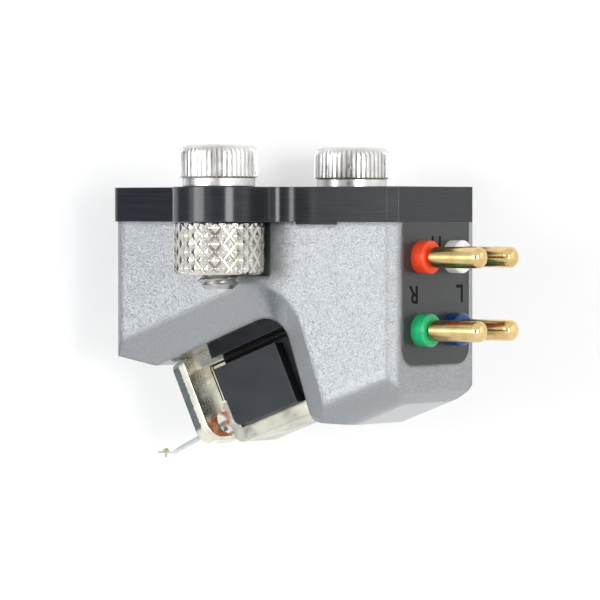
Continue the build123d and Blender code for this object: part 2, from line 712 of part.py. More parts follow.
# The bead of glue over the diamond
with BuildPart() as tip_adhesive:
    with BuildSketch(Plane.XZ):
        with Locations((STYLUS_X, paddle_top)):
            Circle(BEAD_DIAMETER / 2)
            Rectangle(BEAD_DIAMETER, BEAD_DIAMETER, align=(Align.MIN, Align.MIN), mode=Mode.INTERSECT)
    revolve(axis=Axis((STYLUS_X, 0, 0), (0, 0, 1)))
write(tip_adhesive, "tip_adhesive")


# Leads: up in front of the magnet, back beside the holder's neck, through the bore to a pin's tail
lead_ys = {
    "right_signal": -LEAD_INNER_Y,
    "right_return": -LEAD_OUTER_Y,
    "left_signal": LEAD_INNER_Y,
    "left_return": LEAD_OUTER_Y,
}
with BuildPart() as coil_leads:
    for channel, lead_y in lead_ys.items():
        pin_y, pin_z = PINS[channel]
        first_x, first_z = generator_point(LEAD_START, POLE_TOP - LEAD_DIAMETER)
        bend_x, bend_z = generator_point(LEAD_START, LEAD_DOWN)
        exit_x = CAVITY_FRONT + CAVITY_DEPTH / 4
        exit_z = bend_z + (exit_x - bend_x) * RISE
        with BuildLine() as route:
            Polyline(
                (first_x, lead_y, first_z),
                (bend_x, lead_y, bend_z),
                (exit_x, lead_y, exit_z),
                (PIN_TAIL_X - LEAD_DIAMETER, pin_y, pin_z),
            )
        with BuildSketch(Plane(route.line @ 0, z_dir=route.line % 0)):
            RegularPolygon(LEAD_DIAMETER / 2, 6)
        sweep(path=route.line, transition=Transition.RIGHT)
write(coil_leads, "coil_leads")
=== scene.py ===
# %% [markdown]
# # A phono cartridge, dressed in Blender
# A moving-coil cartridge is the small box at the end of a record player's arm. The CAD frame already has
# every piece in its place, in metres. This lesson gives the pieces their finishes, and makes new surfaces
# with numpy where the real piece has more shape than a plain solid: knurls, threads, turned pins, wound
# coils and the drawn cantilever.

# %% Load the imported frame
from math import atan, cos, pi, radians, sin

import bpy
import numpy as np
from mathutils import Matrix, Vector


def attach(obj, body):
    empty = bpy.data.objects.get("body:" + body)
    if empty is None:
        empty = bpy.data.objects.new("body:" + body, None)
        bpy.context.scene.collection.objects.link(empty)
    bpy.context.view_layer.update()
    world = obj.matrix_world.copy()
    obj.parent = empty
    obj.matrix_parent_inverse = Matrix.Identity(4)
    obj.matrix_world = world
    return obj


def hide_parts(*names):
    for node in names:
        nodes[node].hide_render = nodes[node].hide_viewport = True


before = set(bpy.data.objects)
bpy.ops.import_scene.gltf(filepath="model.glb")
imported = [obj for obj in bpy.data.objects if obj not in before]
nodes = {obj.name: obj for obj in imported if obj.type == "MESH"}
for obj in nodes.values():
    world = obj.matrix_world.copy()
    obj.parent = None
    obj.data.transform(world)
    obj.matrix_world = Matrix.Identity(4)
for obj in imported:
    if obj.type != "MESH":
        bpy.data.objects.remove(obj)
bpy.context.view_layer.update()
MM = 0.001

# %% [markdown]
# ## The camera
# The picture was taken level, from behind the left side, with a long lens from about 23 cm. A long lens
# keeps the edges of so small a thing nearly parallel. The frame's middle lies below the camera's height,
# so the camera tips down a little instead of shifting its lens.

# %% Camera at the photograph's angle
VIEW_AZIMUTH = radians(39.5)
CAMERA_DISTANCE = 230
PIXELS_PER_MM = 16.4
FRAME_PIXELS = 600
SENSOR_WIDTH = 36
HORIZON_ABOVE_MIDDLE = 90
CAMERA_ASIDE = 0.801
CAMERA_HEIGHT = -1.384

into = np.array([-sin(VIEW_AZIMUTH), cos(VIEW_AZIMUTH), 0])
across = np.array([cos(VIEW_AZIMUTH), sin(VIEW_AZIMUTH), 0])
upward = np.array([0, 0, 1])
focal_pixels = PIXELS_PER_MM * CAMERA_DISTANCE
tip = atan(HORIZON_ABOVE_MIDDLE / focal_pixels)

camera = bpy.data.objects.new("photo_camera", bpy.data.cameras.new("photo_camera"))
bpy.context.scene.collection.objects.link(camera)
camera.data.sensor_width = SENSOR_WIDTH
camera.data.lens = focal_pixels / FRAME_PIXELS * SENSOR_WIDTH
camera.data.clip_start = 0.01
camera.location = Vector((-CAMERA_DISTANCE * into + CAMERA_ASIDE * across + CAMERA_HEIGHT * upward) * MM)
camera.rotation_euler = Vector(into * cos(tip) - upward * sin(tip)).to_track_quat("-Z", "Y").to_euler()
bpy.context.scene.camera = camera
bpy.context.scene.view_settings.view_transform = "Standard"
print("lens", round(camera.data.lens, 1), "mm, tipped down", round(tip * 180 / pi, 2), "degrees")

# %% [markdown]
# ## The stage
# Small shiny things are photographed in a white tent, so that metal has something pale to mirror. The
# world is that tent. What the camera, a mirror or a lens sees of it is plain white, and what it gives as
# light is weaker, so that a colour on the object comes out about as it is written. A paper backdrop stands
# close behind the cartridge, takes its soft shadow, and shows only its front. The floor glows more than the
# backdrop, because the bevels of the housing mirror it.

# %% White tent, floor and backdrop
AMBIENT = 0.52
PAPER = (0.8, 0.8, 0.8, 1)
FLOOR_GLOW = 0.34
BACKDROP_GLOW = 0.2
GLOW_AS_LIGHT = 0.1
BACKDROP_DEPTH = 11.5
FLOOR_HEIGHT = -26.5
PAPER_REACH = 1500


def seen_rays(tree):
    """1 for rays that the camera, a mirror or a lens sends, and 0 for the light that paper and tent give."""
    path = tree.nodes.new("ShaderNodeLightPath")
    total = path.outputs["Is Camera Ray"]
    for ray in ("Is Glossy Ray", "Is Transmission Ray"):
        either = tree.nodes.new("ShaderNodeMath")
        either.operation = "MAXIMUM"
        tree.links.new(total, either.inputs[0])
        tree.links.new(path.outputs[ray], either.inputs[1])
        total = either.outputs[0]
    return total


def white_tent():
    """Plain white for the rays that are seen, and AMBIENT for the light that the tent gives."""
    world = bpy.data.worlds.new("white_tent")
    world.use_nodes = True
    tree = world.node_tree
    light = tree.nodes["Background"]
    light.inputs["Color"].default_value = (1, 1, 1, 1)
    light.inputs["Strength"].default_value = AMBIENT
    shown = tree.nodes.new("ShaderNodeBackground")
    shown.inputs["Color"].default_value = (1, 1, 1, 1)
    shown.inputs["Strength"].default_value = 1
    pick = tree.nodes.new("ShaderNodeMixShader")
    tree.links.new(seen_rays(tree), pick.inputs[0])
    tree.links.new(light.outputs[0], pick.inputs[1])
    tree.links.new(shown.outputs[0], pick.inputs[2])
    tree.links.new(pick.outputs[0], tree.nodes["World Output"].inputs["Surface"])
    return world


def paper_finish(name, strength, one_sided):
    """White paper that glows at that strength where it is seen, and at GLOW_AS_LIGHT where it lights.

    It is clear from behind if one_sided.
    """
    paper = bpy.data.materials.new(name)
    paper.use_nodes = True
    tree = paper.node_tree
    tree.nodes.remove(tree.nodes["Principled BSDF"])
    matt = tree.nodes.new("ShaderNodeBsdfDiffuse")
    matt.inputs["Color"].default_value = PAPER
    glow = tree.nodes.new("ShaderNodeEmission")
    level = tree.nodes.new("ShaderNodeMapRange")
    level.inputs["To Min"].default_value = GLOW_AS_LIGHT
    level.inputs["To Max"].default_value = strength
    tree.links.new(seen_rays(tree), level.inputs["Value"])
    tree.links.new(level.outputs[0], glow.inputs["Strength"])
    both = tree.nodes.new("ShaderNodeAddShader")
    tree.links.new(matt.outputs[0], both.inputs[0])
    tree.links.new(glow.outputs[0], both.inputs[1])
    surface = both.outputs[0]
    if one_sided:
        side = tree.nodes.new("ShaderNodeNewGeometry")
        clear = tree.nodes.new("ShaderNodeBsdfTransparent")
        pick = tree.nodes.new("ShaderNodeMixShader")
        tree.links.new(side.outputs["Backfacing"], pick.inputs[0])
        tree.links.new(surface, pick.inputs[1])
        tree.links.new(clear.outputs[0], pick.inputs[2])
        surface = pick.outputs[0]
    tree.links.new(surface, tree.nodes["Material Output"].inputs["Surface"])
    return paper


def sheet_of_paper(name, middle, side, rise, finish):
    """A flat sheet with its corners at middle +- side +- rise in millimetres. It faces along side x rise."""
    corners = [middle - side - rise, middle + side - rise, middle + side + rise, middle - side + rise]
    mesh = bpy.data.meshes.new(name)
    mesh.from_pydata(np.array(corners) * MM, [], [(0, 1, 2, 3)])
    mesh.materials.append(finish)
    sheet = bpy.data.objects.new(name, mesh)
    bpy.context.scene.collection.objects.link(sheet)
    return sheet


bpy.context.scene.world = white_tent()
floor_paper = paper_finish("floor_paper", FLOOR_GLOW, False)
backdrop_paper = paper_finish("backdrop_paper", BACKDROP_GLOW, True)
floor = sheet_of_paper("floor", FLOOR_HEIGHT * upward, PAPER_REACH * across, PAPER_REACH * into, floor_paper)
backdrop = sheet_of_paper(
    "backdrop", BACKDROP_DEPTH * into, PAPER_REACH * across, PAPER_REACH * upward, backdrop_paper
)
backdrop.visible_shadow = False
print("stage:", floor.name, backdrop.name)

# %% [markdown]
# ## The light
# The key lamp stands low at the camera's left and almost faces the flat side of the housing, so that the
# grain there lights up towards the rear. A lamp on the right lights the rear chamfer, a weak one beside it
# lights the rear face, and two more fill the left and the top. Three dark blue cards, which the camera
# doesn't see, stand in front, on the floor and behind the camera. They give metal its dark bands.

# %% Lamps and dark cards
LAMP_TARGET = np.array([2, 0, -7])
RADIANCE_TO_WATTS = pi * pi


def soft_lamp(name, azimuth, elevation, distance, size, level):
    """A square lamp that lights a white surface facing it to level.

    Its watts are level x pi squared x distance squared, with the distance in metres.
    """
    a, e = radians(azimuth), radians(elevation)
    away = np.array([sin(a) * cos(e), -cos(a) * cos(e), sin(e)])
    lamp = bpy.data.objects.new(name, bpy.data.lights.new(name, "AREA"))
    bpy.context.scene.collection.objects.link(lamp)
    lamp.data.size = size * MM
    lamp.data.energy = level * RADIANCE_TO_WATTS * (distance * MM) ** 2
    lamp.location = Vector((LAMP_TARGET + away * distance) * MM)
    lamp.rotation_euler = Vector(-away).to_track_quat("-Z", "Y").to_euler()


# Azimuth and elevation in degrees, distance and size in millimetres, and level
LAMPS = {
    "key_lamp": (-10, 5, 220, 100, 0.5),
    "left_lamp": (-22, 0, 150, 70, 0.1),
    "side_lamp": (64, 4, 220, 70, 0.4),
    "rear_lamp": (116, 8, 220, 160, 0.1),
    "back_lamp": (200, 40, 300, 200, 0.12),
}
for lamp_name, settings in LAMPS.items():
    soft_lamp(lamp_name, *settings)

CARD_COLOUR = (0.06, 0.1, 0.16, 1)
card_finish = bpy.data.materials.new("dark_card")
card_finish.use_nodes = True
card_shader = card_finish.node_tree.nodes["Principled BSDF"]
card_shader.inputs["Base Color"].default_value = CARD_COLOUR
card_shader.inputs["Roughness"].default_value = 0.9
# Middle, half side and half rise in millimetres
DARK_CARDS = {
    "front_card": ((-38, -12, -5), (0, -44, 0), (0, 0, 50)),
    "floor_card": ((-39, 5, -26), (0, -27, 0), (-17, 0, 0)),
    "room_card": (-262 * into, 85 * across, 60 * upward),
}
for card_name, placing in DARK_CARDS.items():
    card = sheet_of_paper(card_name, *map(np.array, placing), card_finish)
    card.visible_camera = False
print("lamps:", ", ".join(LAMPS), "and cards:", ", ".join(DARK_CARDS))

# %% [markdown]
# ## Finishes
# A finish is a Principled shader plus the small variations that a real surface has. Object coordinates are
# in metres, so a Mapping node multiplies them by 1000 and every texture below reads in millimetres. Images
# could hold the variations too, but worked-out textures have no seams and stay sharp from close by.


# %% Helpers for finishes
def finish(name, colour, metallic=0.0, roughness=0.4, **more):
    """A material with one Principled shader, whose own sockets hold what is the same all over."""
    material = bpy.data.materials.new(name)
    material.use_nodes = True
    shader = material.node_tree.nodes["Principled BSDF"]
    shader.inputs["Base Color"].default_value = (*colour, 1)
    shader.inputs["Metallic"].default_value = metallic
    shader.inputs["Roughness"].default_value = roughness
    for socket, value in more.items():
        shader.inputs[socket.replace("_", " ")].default_value = value
    return material


def shader_of(material):
    """The material's Principled shader."""
    return material.node_tree.nodes["Principled BSDF"]


def texture(material, kind, per_mm, stretch=(1, 1, 1), detail=2):
    """A Noise or Voronoi texture with per_mm features to a millimetre, stretched along the axes."""
    tree = material.node_tree
    place = tree.nodes.new("ShaderNodeTexCoord")
    scale = tree.nodes.new("ShaderNodeMapping")
    scale.inputs["Scale"].default_value = [s / MM for s in stretch]
    tree.links.new(place.outputs["Object"], scale.inputs["Vector"])
    made = tree.nodes.new("ShaderNodeTex" + kind)
    made.inputs["Scale"].default_value = per_mm
    made.inputs["Detail"].default_value = detail
    tree.links.new(scale.outputs[0], made.inputs["Vector"])
    return made.outputs[0]


NOISE_LOW, NOISE_HIGH = 0.3, 0.7


def shades(material, value, dark, light, start=NOISE_LOW, stop=NOISE_HIGH):
    """Base colour from dark to light as value goes from start to stop."""
    tree = material.node_tree
    ramp = tree.nodes.new("ShaderNodeValToRGB")
    ramp.color_ramp.elements[0].position = start
    ramp.color_ramp.elements[1].position = stop
    ramp.color_ramp.elements[0].color = (*dark, 1)
    ramp.color_ramp.elements[1].color = (*light, 1)
    tree.links.new(value, ramp.inputs[0])
    tree.links.new(ramp.outputs["Color"], shader_of(material).inputs["Base Color"])


def spread(material, value, start, stop, low, high):
    """A socket that goes from low to high as value goes from start to stop."""
    tree = material.node_tree
    scaled = tree.nodes.new("ShaderNodeMapRange")
    for socket, number in zip(("From Min", "From Max", "To Min", "To Max"), (start, stop, low, high)):
        scaled.inputs[socket].default_value = number
    tree.links.new(value, scaled.inputs["Value"])
    return scaled.outputs[0]


def gloss(material, value, low, high):
    """Roughness from low to high as value goes from NOISE_LOW to NOISE_HIGH."""
    scaled = spread(material, value, NOISE_LOW, NOISE_HIGH, low, high)
    material.node_tree.links.new(scaled, shader_of(material).inputs["Roughness"])


def relief(material, value, depth, edge=0.0):
    """Relief of that depth, and edges that catch the light as if rounded to edge, both in millimetres."""
    tree = material.node_tree
    bump = tree.nodes.new("ShaderNodeBump")
    bump.inputs["Distance"].default_value = depth * MM
    tree.links.new(value, bump.inputs["Height"])
    if edge:
        round_edge = tree.nodes.new("ShaderNodeBevel")
        round_edge.inputs["Radius"].default_value = edge * MM
        tree.links.new(round_edge.outputs[0], bump.inputs["Normal"])
    tree.links.new(bump.outputs[0], shader_of(material).inputs["Normal"])


def cover(material, share, over):
    """Covers the base colour with the colour over, by a share from 0 to 1.

    Sockets 6 and 7 of a Mix node are its two colours.
    """
    tree = material.node_tree
    colour = shader_of(material).inputs["Base Color"]
    mix = tree.nodes.new("ShaderNodeMix")
    mix.data_type = "RGBA"
    mix.inputs[7].default_value = (*over, 1)
    tree.links.new(share, mix.inputs[0])
    tree.links.new(colour.links[0].from_socket, mix.inputs[6])
    tree.links.new(mix.outputs[2], colour)


# Painted edge highlight: it starts and is full at these dot products of the normals, and covers up to this
# share
HIGHLIGHT_FROM, HIGHLIGHT_TO, HIGHLIGHT_SHARE = 0.995, 0.9, 0.5


def painted_edge_highlight(material, bright, reach):
    """Painted highlight on the edges: bright covers the colour by up to a half, as rounded normal . face
    normal falls.
    """
    tree = material.node_tree
    rounded = tree.nodes.new("ShaderNodeBevel")
    rounded.inputs["Radius"].default_value = reach * MM
    face = tree.nodes.new("ShaderNodeNewGeometry")
    agree = tree.nodes.new("ShaderNodeVectorMath")
    agree.operation = "DOT_PRODUCT"
    tree.links.new(rounded.outputs[0], agree.inputs[0])
    tree.links.new(face.outputs["Normal"], agree.inputs[1])
    cover(material, spread(material, agree.outputs["Value"], HIGHLIGHT_FROM, HIGHLIGHT_TO, 0, HIGHLIGHT_SHARE), bright)


def distance_along(material, axis):
    """A socket with the distance from the origin along a unit axis, in millimetres: place . axis."""
    tree = material.node_tree
    place = tree.nodes.new("ShaderNodeTexCoord")
    along = tree.nodes.new("ShaderNodeVectorMath")
    along.operation = "DOT_PRODUCT"
    along.inputs[1].default_value = axis / MM
    tree.links.new(place.outputs["Object"], along.inputs[0])
    return along.outputs["Value"]


def dress(material, *names):
    """Gives the CAD nodes of these names a finish."""
    for name in names:
        for place in nodes[name].material_slots:
            place.material = material
    print(material.name, "on", ", ".join(names))


# %% [markdown]
# ### The silver housing
# The housing is a metal casting with a silver sparkle finish. Under a lens it is a field of tiny grains, 28
# to a millimetre, each tilted its own way, so some flash and some stay grey. The grain is strong on the
# upright faces and almost polished away on the bevels. A Voronoi texture gives every grain its own colour,
# which sets its tone and its tilt. Noise could give a grain too, but its spots fade into each other, and a
# flake has one tone up to its border. A Bevel node rounds the edges, and its normal says which faces stand
# upright.


# %% Silver housing
LOOKS_DOWN, STANDS_UPRIGHT = -0.45, -0.05


def upright_faces(material, edge):
    """1 where the surface, with its edges rounded to edge, stands upright, and 0 where it looks down."""
    tree = material.node_tree
    facing = tree.nodes.new("ShaderNodeBevel")
    facing.inputs["Radius"].default_value = edge * MM
    axes = tree.nodes.new("ShaderNodeSeparateXYZ")
    tree.links.new(facing.outputs[0], axes.inputs[0])
    return spread(material, axes.outputs["Z"], LOOKS_DOWN, STANDS_UPRIGHT, 0, 1)


def flake_tilt(material, flakes, amount):
    """Leans the normal of every flake its own way: normal + amount x (flake's random colour - a half)."""
    tree = material.node_tree
    normal = shader_of(material).inputs["Normal"]
    steps = [tree.nodes.new("ShaderNodeVectorMath") for step in range(4)]
    for step, kind in zip(steps, ("SUBTRACT", "SCALE", "ADD", "NORMALIZE")):
        step.operation = kind
    steps[0].inputs[1].default_value = (0.5, 0.5, 0.5)
    tree.links.new(flakes, steps[0].inputs[0])
    tree.links.new(amount, steps[1].inputs["Scale"])
    tree.links.new(steps[0].outputs[0], steps[1].inputs[0])
    tree.links.new(steps[1].outputs[0], steps[2].inputs[0])
    tree.links.new(normal.links[0].from_socket, steps[2].inputs[1])
    tree.links.new(steps[2].outputs[0], steps[3].inputs[0])
    tree.links.new(steps[3].outputs[0], normal)


SILVER_EDGE = 0.45
FLAKES_PER_MM = 28
FLAKE_DARK, FLAKE_LIGHT = (0.103, 0.115, 0.124), (0.382, 0.397, 0.41)
# Each pair is for the bevels and for the upright faces.
FLAKE_SHARE, FLAKE_OFFSET, FLAKE_LEAN = (0.4, 1), (0.58, 0), (0.12, 0.33)
SILVER_ROUGHNESS, SILVER_METALLIC = (0.23, 0.42), (0.92, 0.55)


def silver_finish():
    """A flake's tone is its random red x FLAKE_SHARE + FLAKE_OFFSET, so the bevels are pale and calm."""
    silver = finish("silver_sparkle", (0.47, 0.48, 0.5), metallic=0.5, roughness=0.45)
    tree = silver.node_tree
    flakes = texture(silver, "Voronoi", FLAKES_PER_MM).node.outputs["Color"]
    split = tree.nodes.new("ShaderNodeSeparateColor")
    tree.links.new(flakes, split.inputs[0])
    upright = upright_faces(silver, SILVER_EDGE)
    by_face = lambda pair: spread(silver, upright, 0, 1, *pair)
    tone = tree.nodes.new("ShaderNodeMath")
    tone.operation = "MULTIPLY_ADD"
    tree.links.new(split.outputs[0], tone.inputs[0])
    tree.links.new(by_face(FLAKE_SHARE), tone.inputs[1])
    tree.links.new(by_face(FLAKE_OFFSET), tone.inputs[2])
    shades(silver, tone.outputs[0], FLAKE_DARK, FLAKE_LIGHT, 0, 1)
    tree.links.new(by_face(SILVER_ROUGHNESS), shader_of(silver).inputs["Roughness"])
    tree.links.new(by_face(SILVER_METALLIC), shader_of(silver).inputs["Metallic"])
    relief(silver, texture(silver, "Noise", 9, detail=4), 0.001, SILVER_EDGE)
    flake_tilt(silver, flakes, by_face(FLAKE_LEAN))
    return silver


dress(silver_finish(), "body_shell")

# %% [markdown]
# ### Black pieces
# The top plate is anodised black, milled round its edge, so fine level lines run along its sides. They could
# be modelled, but they are only about a thousandth of a millimetre deep, so a stretched noise in the relief
# is enough. The terminal plate, the holder and the magnet are black too, each with its own gloss.


# %% Black plate, terminal plate, holder and magnet
def black_finish(name, colour, roughness, lines, depth, edge, shine=0.5):
    """Black whose tone and gloss follow streaks: noise stretched level, with lines of it to a millimetre."""
    black = finish(name, colour, roughness=roughness, Specular_IOR_Level=shine)
    streaks = texture(black, "Noise", 1, stretch=(0.35, 0.35, lines), detail=4)
    shades(black, streaks, tuple(0.85 * c for c in colour), tuple(1.2 * c for c in colour))
    gloss(black, streaks, roughness - 0.03, roughness + 0.04)
    relief(black, streaks, depth, edge)
    # The edges get a painted highlight, paler than the black.
    painted_edge_highlight(black, tuple(0.05 + 4 * c for c in colour), edge)
    return black


# Colour, roughness, level lines to a millimetre, depth of the lines, edge and shine
dress(black_finish("milled_black", (0.024, 0.026, 0.029), 0.15, 14, 0.0012, 0.1, 0.31), "mounting_plate")
dress(black_finish("terminal_black", (0.028, 0.03, 0.031), 0.3, 0.5, 0.001, 0.06), "terminal_plate")
CEILING_TILT = radians(20)
ALONG_CEILING = np.array([cos(CEILING_TILT), 0, sin(CEILING_TILT)])
HOLDER_BLOCK_START = -7.3
ARM_METAL = (0.62, 0.6, 0.5)
ARM_BORDER = 0.03


def holder_finish():
    """Black, but bright metal on the arm: less than HOLDER_BLOCK_START along the ceiling of the arch."""
    holder = black_finish("holder_black", (0.01, 0.011, 0.013), 0.25, 2, 0.002, 0.08, 0.28)
    along = distance_along(holder, ALONG_CEILING)
    arm = spread(holder, along, HOLDER_BLOCK_START - ARM_BORDER, HOLDER_BLOCK_START + ARM_BORDER, 1, 0)
    cover(holder, arm, ARM_METAL)
    holder.node_tree.links.new(arm, shader_of(holder).inputs["Metallic"])
    return holder


dress(holder_finish(), "generator_holder")
dress(black_finish("magnet_black", (0.022, 0.026, 0.03), 0.4, 1, 0.001, 0.1, 0.35), "magnet")

# %% [markdown]
# ### Coloured collars
# Each pin stands in a moulded collar whose colour names its wire: red and green for the right channel,
# white and blue for the left. They are plain glossy plastic with a faint cloud in the colour. Each could have
# its own nodes, but one function that is given the colour keeps their gloss the same.


# %% Collars
def collar_finish(name, colour):
    """Plastic whose colour goes from 0.85 to 1.1 times the plain one with slow noise."""
    plastic = finish(name, colour, roughness=0.3, Subsurface_Weight=0.05, Subsurface_Scale=0.3 * MM)
    cloud = texture(plastic, "Noise", 1.6)
    shades(plastic, cloud, tuple(0.85 * c for c in colour), tuple(min(1, 1.1 * c) for c in colour))
    relief(plastic, texture(plastic, "Noise", 5), 0.003, edge=0.06)
    return plastic


dress(collar_finish("collar_red", (0.8, 0.06, 0.009)), "collar_right_signal")
dress(collar_finish("collar_green", (0.013, 0.43, 0.155)), "collar_right_return")
dress(collar_finish("collar_white", (0.9, 0.9, 0.88)), "collar_left_signal")
dress(collar_finish("collar_blue", (0.002, 0.045, 0.19)), "collar_left_return")

# %% [markdown]
# ### Plated metal
# Screws, nuts and yokes are nickel-plated. Nickel is a warm grey, and plating is never quite even: a slow
# cloud in the colour, a faster one in the gloss, and a little roughness that blurs what it mirrors. One even
# grey would be simpler, but it looks drawn, so each metal has a dark and a light tone.


# %% Nickel, gold, copper, steel and aluminium
def metal_finish(name, dark, light, roughness, clouds, grains, depth, edge=0.0):
    """Plated metal: slow noise from the dark to the light colour, and faster noise for the gloss."""
    metal = finish(name, light, metallic=1, roughness=roughness)
    cloud = texture(metal, "Noise", clouds, detail=4)
    shades(metal, cloud, dark, light)
    gloss(metal, texture(metal, "Noise", 3 * clouds, detail=3), 0.75 * roughness, 1.35 * roughness)
    relief(metal, texture(metal, "Noise", grains, detail=3), depth, edge)
    return metal


def painted_shade_below(material, height, share):
    """The colour times share below that height in millimetres: painted shade on the shank under the top
    plate.
    """
    tree = material.node_tree
    colour = shader_of(material).inputs["Base Color"]
    dimmed = tree.nodes.new("ShaderNodeVectorMath")
    dimmed.operation = "SCALE"
    tree.links.new(colour.links[0].from_socket, dimmed.inputs[0])
    level = spread(material, distance_along(material, upward), height - 0.1, height, share, 1)
    tree.links.new(level, dimmed.inputs["Scale"])
    tree.links.new(dimmed.outputs[0], colour)


NICKEL_DARK, NICKEL_LIGHT = (0.56, 0.55, 0.53), (0.73, 0.725, 0.71)
# Dark and light tone, roughness, clouds and grains to a millimetre, depth of the grains, and edge
screw_nickel = metal_finish("screw_nickel", NICKEL_DARK, NICKEL_LIGHT, 0.34, 0.8, 12, 0.002)
# The shank and its thread under the nut get painted shade: the colour times 0.75 below a height of -2 mm.
painted_shade_below(screw_nickel, height=-2, share=0.75)
nut_nickel = metal_finish("nut_nickel", (0.53, 0.51, 0.455), (0.73, 0.71, 0.66), 0.17, 0.8, 10, 0.003)
yoke_nickel = metal_finish("yoke_nickel", (0.46, 0.44, 0.37), (0.68, 0.66, 0.57), 0.36, 0.55, 6, 0.003, 0.12)
pin_gold = metal_finish("pin_gold", (0.58, 0.41, 0.16), (0.8, 0.6, 0.3), 0.17, 0.9, 14, 0.002)
coil_copper = metal_finish("coil_copper", (0.55, 0.16, 0.06), (0.85, 0.33, 0.16), 0.28, 3, 20, 0.002)
lead_enamel = metal_finish("lead_enamel", (0.02, 0.015, 0.012), (0.05, 0.035, 0.025), 0.35, 3, 20, 0.001)
spring_steel = metal_finish("spring_steel", (0.3, 0.3, 0.31), (0.55, 0.55, 0.56), 0.3, 3, 20, 0.001)
drawn_aluminium = metal_finish("drawn_aluminium", (0.6, 0.6, 0.6), (0.78, 0.78, 0.78), 0.35, 2, 20, 0.001)
dress(yoke_nickel, "lower_yoke")
dress(spring_steel, "set_screw", "tie_wire")
dress(lead_enamel, "coil_leads")

# %% [markdown]
# ### The small soft and clear pieces
# The coil former is white plastic, the damper is black rubber, the diamond is a clear stone and a bead of
# yellow-green glue holds it. They are so small that the CAD shapes are enough, and a plain finish does the
# rest.

# %% Former, rubber, diamond and glue
former_white = finish(
    "former_white", (0.75, 0.75, 0.73), roughness=0.45, Subsurface_Weight=0.1, Subsurface_Scale=0.1 * MM
)
shades(former_white, texture(former_white, "Noise", 4), (0.66, 0.66, 0.64), (0.8, 0.8, 0.78))
relief(former_white, texture(former_white, "Noise", 25), 0.002, edge=0.03)
damper_rubber = finish("damper_rubber", (0.02, 0.02, 0.02), roughness=0.7)
shades(damper_rubber, texture(damper_rubber, "Noise", 8), (0.012, 0.012, 0.012), (0.035, 0.034, 0.033))
relief(damper_rubber, texture(damper_rubber, "Noise", 30), 0.004)
diamond_clear = finish("diamond_clear", (0.7, 0.7, 0.68), roughness=0.05, IOR=2.42, Transmission_Weight=0.7)
shades(diamond_clear, texture(diamond_clear, "Noise", 10), (0.55, 0.55, 0.5), (0.85, 0.85, 0.82))
tip_glue = finish("tip_glue", (0.5, 0.55, 0.12), roughness=0.12, Transmission_Weight=0.35, IOR=1.5)
shades(tip_glue, texture(tip_glue, "Noise", 6), (0.42, 0.48, 0.1), (0.62, 0.66, 0.2))
relief(tip_glue, texture(tip_glue, "Noise", 4), 0.01)
dress(former_white, "coil_former")
dress(damper_rubber, "damper")
dress(diamond_clear, "stylus_tip")
dress(tip_glue, "tip_adhesive")

# %% [markdown]
# ## New surfaces
# Every new piece is a grid of points: rows along a profile, columns round it. One helper joins the grid
# with four-cornered faces, closes the ends, and turns all faces outwards by the sign of the volume. A
# modifier could turn a profile round an axis too, but a knurl's or a thread's profile changes with the angle.


# %% From a grid of points to a piece
def grid_piece(name, rows, material, body, replaced=(), ring=False, sharp=35):
    """Faces between the points of a rows x columns x 3 grid in millimetres, closed round its columns.

    The first and last rows are closed by a fan round their middle, or joined to each other if ring is set.
    The volume is a sixth of the sum of a . (b x c) over triangles, and it is positive when faces point out.
    """
    count, around = rows.shape[:2]
    index = np.arange(count * around).reshape(count, around)
    lower = np.roll(index, -1, axis=0) if ring else index[1:]
    upper = index if ring else index[:-1]
    turn = lambda part: np.roll(part, -1, axis=1)
    quads = np.stack([upper, lower, turn(lower), turn(upper)], axis=-1).reshape(-1, 4)
    points = rows.reshape(-1, 3)
    fans = np.empty((0, 3), int)
    if not ring:
        middles = np.stack([rows[0].mean(axis=0), rows[-1].mean(axis=0)])
        first, last = np.full(around, len(points)), np.full(around, len(points) + 1)
        begin = np.stack([first, index[0], turn(index[:1])[0]], -1)
        end = np.stack([last, turn(index[-1:])[0], index[-1]], -1)
        fans = np.concatenate([begin, end])
        points = np.concatenate([points, middles])
    triangles = np.concatenate([quads[:, [0, 1, 2]], quads[:, [0, 2, 3]], fans])
    a, b, c = (points[triangles[:, k]] for k in range(3))
    volume = np.einsum("ij,ij->", a, np.cross(b, c)) / 6
    if volume < 0:
        quads, fans = quads[:, ::-1], fans[:, ::-1]
    mesh = bpy.data.meshes.new(name)
    mesh.from_pydata(points * MM, [], quads.tolist() + fans.tolist())
    mesh.shade_smooth()
    mesh.set_sharp_from_angle(angle=radians(sharp))
    mesh.materials.append(material)
    piece = bpy.data.objects.new(name, mesh)
    bpy.context.scene.collection.objects.link(piece)
    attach(piece, body)
    if replaced:
        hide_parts(*replaced)
    print(name, len(triangles), "triangles,", round(abs(volume), 3), "mm3")


def circle(steps):
    """Evenly spaced angles of one full turn."""
    return np.arange(steps) * 2 * pi / steps


def column(values):
    """The values as a column, one for each row of a grid."""
    return np.array(values, float)[:, None]


def profile(pairs):
    """The radii and the heights of a profile's points, each as a column."""
    return [column(values) for values in zip(*pairs)]


def turned(angle, parts, side_y):
    """Points at radius x (cos, sin) of the angle round the upright axis at side_y, a row for each height."""
    radius = np.concatenate([r + 0 * angle for r, z in parts])
    height = np.concatenate([z + 0 * angle for r, z in parts])
    return np.stack([radius * np.cos(angle), side_y + radius * np.sin(angle), height], axis=-1)


# %% [markdown]
# ### The knurled screws
# A screw is one surface from the bottom of its hex socket, over the rounded crown, down the straight knurl
# and the plain collar, and along the thread to the tip. Each row has a height and a radius for every angle:
# a hexagon in the socket, 48 grooves cut into the rounded blank of the head, and on the shank a ridge that
# climbs one pitch a turn. The grooves could be cut one by one, but a formula gives all of them at once and
# leaves no ragged faces.

